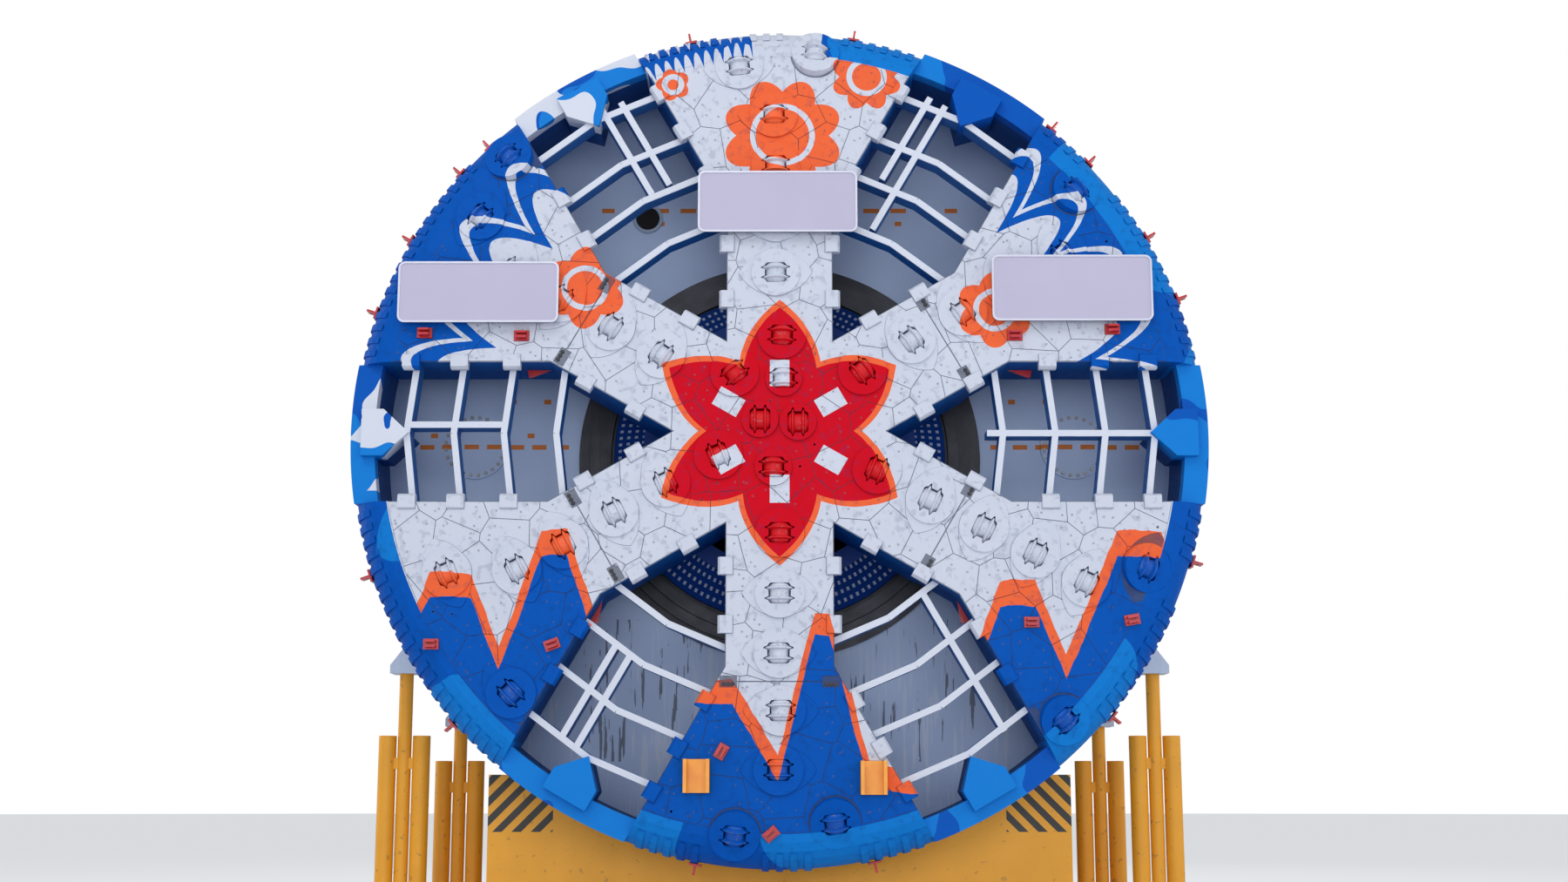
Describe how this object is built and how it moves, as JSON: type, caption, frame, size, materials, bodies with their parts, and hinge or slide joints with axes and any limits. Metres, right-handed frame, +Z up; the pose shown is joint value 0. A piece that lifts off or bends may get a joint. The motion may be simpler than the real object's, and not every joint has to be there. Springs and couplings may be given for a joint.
{
  "type": "tunnel boring machine cutterhead on its front shield",
  "caption": "Six-armed cutterhead with free-rolling double disc cutters, turning on the main drive of its front shield, which stands on a workshop cradle.",
  "frame": {"origin": "on the floor under the machine axis, in the middle of the cradle's floor plate", "axes": "+Z up, machine axis along Y at the axis height, cutting face towards -Y, +X to the right of someone who faces the head"},
  "size_m": [14.93, 5.7503, 16.3225],
  "materials": {
    "head_white": "satin paint over hardfaced plate",
    "head_blue": "satin paint",
    "tool_steel": "worn tool steel",
    "lug_red": "gloss paint",
    "bracket_yellow": "gloss paint",
    "shield_grey": "satin paint",
    "seal_dark": "dark oiled steel"
  },
  "bodies": {
    "cutterhead": {"centre_block": "head_white", "outer_blocks": "head_blue", "rim_ring": "head_blue", "grizzly_bars": "head_white", "cutter_casings": "head_white", "edge_scrapers": "head_white", "lifting_lugs": "lug_red", "turning_brackets": "bracket_yellow", "drive_drum": "head_blue"},
    "shield": {"shield_shell": "shield_grey", "bulkhead": "shield_grey", "bearing_housing": "seal_dark", "drive_motors": "head_blue", "cradle": "bracket_yellow", "side_jacks": "bracket_yellow"},
    "cutter_30_1": {"cutter_30_1": "tool_steel"},
    "cutter_30_2": {"cutter_30_2": "tool_steel"},
    "cutter_30_3": {"cutter_30_3": "tool_steel"},
    "cutter_30_4": {"cutter_30_4": "tool_steel"},
    "cutter_30_5": {"cutter_30_5": "tool_steel"},
    "cutter_30_6": {"cutter_30_6": "tool_steel"},
    "cutter_90_1": {"cutter_90_1": "tool_steel"},
    "cutter_90_2": {"cutter_90_2": "tool_steel"},
    "cutter_90_3": {"cutter_90_3": "tool_steel"},
    "cutter_90_4": {"cutter_90_4": "tool_steel"},
    "cutter_90_5": {"cutter_90_5": "tool_steel"},
    "cutter_90_6": {"cutter_90_6": "tool_steel"},
    "cutter_90_7": {"cutter_90_7": "tool_steel"},
    "cutter_150_1": {"cutter_150_1": "tool_steel"},
    "cutter_150_2": {"cutter_150_2": "tool_steel"},
    "cutter_150_3": {"cutter_150_3": "tool_steel"},
    "cutter_150_4": {"cutter_150_4": "tool_steel"},
    "cutter_150_5": {"cutter_150_5": "tool_steel"},
    "cutter_150_6": {"cutter_150_6": "tool_steel"},
    "cutter_150_7": {"cutter_150_7": "tool_steel"},
    "cutter_210_1": {"cutter_210_1": "tool_steel"},
    "cutter_210_2": {"cutter_210_2": "tool_steel"},
    "cutter_210_3": {"cutter_210_3": "tool_steel"},
    "cutter_210_4": {"cutter_210_4": "tool_steel"},
    "cutter_210_5": {"cutter_210_5": "tool_steel"},
    "cutter_210_6": {"cutter_210_6": "tool_steel"},
    "cutter_210_7": {"cutter_210_7": "tool_steel"},
    "cutter_270_1": {"cutter_270_1": "tool_steel"},
    "cutter_270_2": {"cutter_270_2": "tool_steel"},
    "cutter_270_3": {"cutter_270_3": "tool_steel"},
    "cutter_270_4": {"cutter_270_4": "tool_steel"},
    "cutter_270_5": {"cutter_270_5": "tool_steel"},
    "cutter_270_6": {"cutter_270_6": "tool_steel"},
    "cutter_270_7": {"cutter_270_7": "tool_steel"},
    "cutter_330_1": {"cutter_330_1": "tool_steel"},
    "cutter_330_2": {"cutter_330_2": "tool_steel"},
    "cutter_330_3": {"cutter_330_3": "tool_steel"},
    "cutter_330_4": {"cutter_330_4": "tool_steel"},
    "cutter_330_5": {"cutter_330_5": "tool_steel"},
    "cutter_330_6": {"cutter_330_6": "tool_steel"},
    "cutter_330_7": {"cutter_330_7": "tool_steel"},
    "cutter_mid_1": {"cutter_mid_1": "tool_steel"},
    "cutter_mid_2": {"cutter_mid_2": "tool_steel"},
    "cutter_mid_3": {"cutter_mid_3": "tool_steel"},
    "cutter_mid_4": {"cutter_mid_4": "tool_steel"}
  },
  "joints": [
    {"name": "cutterhead_spin", "type": "hinge", "parent": "shield", "child": "cutterhead", "pos_m": [0, -3.45, 8.75], "axis": [0, 1, 0], "continuous": true},
    {"name": "cutter_30_1_spin", "type": "hinge", "parent": "cutterhead", "child": "cutter_30_1", "pos_m": [1.43287, -3.384, 9.8082], "axis": [0.8044, 0, 0.5941], "continuous": true},
    {"name": "cutter_30_2_spin", "type": "hinge", "parent": "cutterhead", "child": "cutter_30_2", "pos_m": [2.29121, -3.384, 10.36151], "axis": [0.8179, 0, 0.5753], "continuous": true},
    {"name": "cutter_30_3_spin", "type": "hinge", "parent": "cutterhead", "child": "cutter_30_3", "pos_m": [3.19322, -3.384, 10.85919], "axis": [0.8344, 0, 0.5511], "continuous": true},
    {"name": "cutter_30_4_spin", "type": "hinge", "parent": "cutterhead", "child": "cutter_30_4", "pos_m": [4.0096, -3.384, 11.36517], "axis": [0.8376, 0, 0.5463], "continuous": true},
    {"name": "cutter_30_5_spin", "type": "hinge", "parent": "cutterhead", "child": "cutter_30_5", "pos_m": [4.96723, -3.384, 11.90651], "axis": [0.844, 0, 0.5363], "continuous": true},
    {"name": "cutter_30_6_spin", "type": "hinge", "parent": "cutterhead", "child": "cutter_30_6", "pos_m": [5.20971, -3.37156, 13.07066], "axis": [0.7399, 0.2756, 0.6136], "continuous": true},
    {"name": "cutter_90_1_spin", "type": "hinge", "parent": "cutterhead", "child": "cutter_90_1", "pos_m": [0.04, -3.384, 10.45], "axis": [0.0235, 0, 0.9997], "continuous": true},
    {"name": "cutter_90_2_spin", "type": "hinge", "parent": "cutterhead", "child": "cutter_90_2", "pos_m": [-0.07, -3.384, 11.58], "axis": [-0.0247, 0, 0.9997], "continuous": true},
    {"name": "cutter_90_3_spin", "type": "hinge", "parent": "cutterhead", "child": "cutter_90_3", "pos_m": [-0.07, -3.384, 12.56], "axis": [-0.0184, 0, 0.9998], "continuous": true},
    {"name": "cutter_90_4_spin", "type": "hinge", "parent": "cutterhead", "child": "cutter_90_4", "pos_m": [-0.07, -3.384, 13.54], "axis": [-0.0146, 0, 0.9999], "continuous": true},
    {"name": "cutter_90_5_spin", "type": "hinge", "parent": "cutterhead", "child": "cutter_90_5", "pos_m": [-0.1, -3.384, 14.49], "axis": [-0.0174, 0, 0.9998], "continuous": true},
    {"name": "cutter_90_6_spin", "type": "hinge", "parent": "cutterhead", "child": "cutter_90_6", "pos_m": [-0.72, -3.384, 15.39], "axis": [-0.1078, 0, 0.9942], "continuous": true},
    {"name": "cutter_90_7_spin", "type": "hinge", "parent": "cutterhead", "child": "cutter_90_7", "pos_m": [0.63832, -3.35733, 15.63189], "axis": [0.0888, 0.2756, 0.9572], "continuous": true},
    {"name": "cutter_150_1_spin", "type": "hinge", "parent": "cutterhead", "child": "cutter_150_1", "pos_m": [-0.78057, -3.384, 9.77801], "axis": [-0.6047, 0, 0.7964], "continuous": true},
    {"name": "cutter_150_2_spin", "type": "hinge", "parent": "cutterhead", "child": "cutter_150_2", "pos_m": [-2.06042, -3.384, 10.10124], "axis": [-0.8362, 0, 0.5484], "continuous": true},
    {"name": "cutter_150_3_spin", "type": "hinge", "parent": "cutterhead", "child": "cutter_150_3", "pos_m": [-2.94011, -3.384, 10.59758], "axis": [-0.8467, 0, 0.5321], "continuous": true},
    {"name": "cutter_150_4_spin", "type": "hinge", "parent": "cutterhead", "child": "cutter_150_4", "pos_m": [-3.81479, -3.384, 11.10258], "axis": [-0.8512, 0, 0.5249], "continuous": true},
    {"name": "cutter_150_5_spin", "type": "hinge", "parent": "cutterhead", "child": "cutter_150_5", "pos_m": [-4.68082, -3.384, 11.60258], "axis": [-0.8539, 0, 0.5204], "continuous": true},
    {"name": "cutter_150_6_spin", "type": "hinge", "parent": "cutterhead", "child": "cutter_150_6", "pos_m": [-5.26185, -3.384, 12.59622], "axis": [-0.8073, 0, 0.5901], "continuous": true},
    {"name": "cutter_150_7_spin", "type": "hinge", "parent": "cutterhead", "child": "cutter_150_7", "pos_m": [-4.77911, -3.36672, 13.69736], "axis": [-0.6679, 0.2756, 0.6914], "continuous": true},
    {"name": "cutter_210_1_spin", "type": "hinge", "parent": "cutterhead", "child": "cutter_210_1", "pos_m": [-1.05861, -3.384, 8.32356], "axis": [-0.9276, 0, -0.3736], "continuous": true},
    {"name": "cutter_210_2_spin", "type": "hinge", "parent": "cutterhead", "child": "cutter_210_2", "pos_m": [-1.95696, -3.384, 7.83955], "axis": [-0.9067, 0, -0.4218], "continuous": true},
    {"name": "cutter_210_3_spin", "type": "hinge", "parent": "cutterhead", "child": "cutter_210_3", "pos_m": [-2.8353, -3.384, 7.32088], "axis": [-0.893, 0, -0.4501], "continuous": true},
    {"name": "cutter_210_4_spin", "type": "hinge", "parent": "cutterhead", "child": "cutter_210_4", "pos_m": [-3.69365, -3.384, 6.76758], "axis": [-0.8811, 0, -0.4729], "continuous": true},
    {"name": "cutter_210_5_spin", "type": "hinge", "parent": "cutterhead", "child": "cutter_210_5", "pos_m": [-4.47441, -3.384, 6.3399], "axis": [-0.8804, 0, -0.4742], "continuous": true},
    {"name": "cutter_210_6_spin", "type": "hinge", "parent": "cutterhead", "child": "cutter_210_6", "pos_m": [-5.67106, -3.384, 6.27256], "axis": [-0.9164, 0, -0.4003], "continuous": true},
    {"name": "cutter_210_7_spin", "type": "hinge", "parent": "cutterhead", "child": "cutter_210_7", "pos_m": [-4.52704, -3.384, 4.23106], "axis": [-0.7077, 0, -0.7065], "continuous": true},
    {"name": "cutter_270_1_spin", "type": "hinge", "parent": "cutterhead", "child": "cutter_270_1", "pos_m": [0, -3.384, 6.97], "axis": [0, 0, -1], "continuous": true},
    {"name": "cutter_270_2_spin", "type": "hinge", "parent": "cutterhead", "child": "cutter_270_2", "pos_m": [0, -3.384, 5.93], "axis": [0, 0, -1], "continuous": true},
    {"name": "cutter_270_3_spin", "type": "hinge", "parent": "cutterhead", "child": "cutter_270_3", "pos_m": [-0.02, -3.384, 4.91], "axis": [-0.0052, 0, -1], "continuous": true},
    {"name": "cutter_270_4_spin", "type": "hinge", "parent": "cutterhead", "child": "cutter_270_4", "pos_m": [0.02, -3.384, 3.94], "axis": [0.0042, 0, -1], "continuous": true},
    {"name": "cutter_270_5_spin", "type": "hinge", "parent": "cutterhead", "child": "cutter_270_5", "pos_m": [-0.02, -3.384, 2.95], "axis": [-0.0034, 0, -1], "continuous": true},
    {"name": "cutter_270_6_spin", "type": "hinge", "parent": "cutterhead", "child": "cutter_270_6", "pos_m": [-0.74803, -3.35987, 1.88809], "axis": [-0.1042, 0.2756, -0.9556], "continuous": true},
    {"name": "cutter_270_7_spin", "type": "hinge", "parent": "cutterhead", "child": "cutter_270_7", "pos_m": [0.92749, -3.37156, 2.08802], "axis": [0.1325, 0.2756, -0.9521], "continuous": true},
    {"name": "cutter_330_1_spin", "type": "hinge", "parent": "cutterhead", "child": "cutter_330_1", "pos_m": [1.67019, -3.384, 8.06285], "axis": [0.9248, 0, -0.3805], "continuous": true},
    {"name": "cutter_330_2_spin", "type": "hinge", "parent": "cutterhead", "child": "cutter_330_2", "pos_m": [2.58451, -3.384, 7.54651], "axis": [0.9065, 0, -0.4221], "continuous": true},
    {"name": "cutter_330_3_spin", "type": "hinge", "parent": "cutterhead", "child": "cutter_330_3", "pos_m": [3.49152, -3.384, 7.05749], "axis": [0.8998, 0, -0.4362], "continuous": true},
    {"name": "cutter_330_4_spin", "type": "hinge", "parent": "cutterhead", "child": "cutter_330_4", "pos_m": [4.36522, -3.384, 6.61079], "axis": [0.898, 0, -0.4401], "continuous": true},
    {"name": "cutter_330_5_spin", "type": "hinge", "parent": "cutterhead", "child": "cutter_330_5", "pos_m": [5.22259, -3.384, 6.11579], "axis": [0.8929, 0, -0.4503], "continuous": true},
    {"name": "cutter_330_6_spin", "type": "hinge", "parent": "cutterhead", "child": "cutter_330_6", "pos_m": [6.25108, -3.37156, 6.37311], "axis": [0.8985, 0.2756, -0.3416], "continuous": true},
    {"name": "cutter_330_7_spin", "type": "hinge", "parent": "cutterhead", "child": "cutter_330_7", "pos_m": [4.78776, -3.36396, 3.79763], "axis": [0.6681, 0.2756, -0.6911], "continuous": true},
    {"name": "cutter_mid_1_spin", "type": "hinge", "parent": "cutterhead", "child": "cutter_mid_1", "pos_m": [0.07, -3.384, 9.68], "axis": [0, 0, 1], "continuous": true},
    {"name": "cutter_mid_2_spin", "type": "hinge", "parent": "cutterhead", "child": "cutter_mid_2", "pos_m": [-0.34, -3.384, 8.95], "axis": [1, 0, 0], "continuous": true},
    {"name": "cutter_mid_3_spin", "type": "hinge", "parent": "cutterhead", "child": "cutter_mid_3", "pos_m": [0.315, -3.384, 8.9], "axis": [1, 0, 0], "continuous": true},
    {"name": "cutter_mid_4_spin", "type": "hinge", "parent": "cutterhead", "child": "cutter_mid_4", "pos_m": [-0.11, -3.384, 8.11], "axis": [0, 0, 1], "continuous": true}
  ]
}
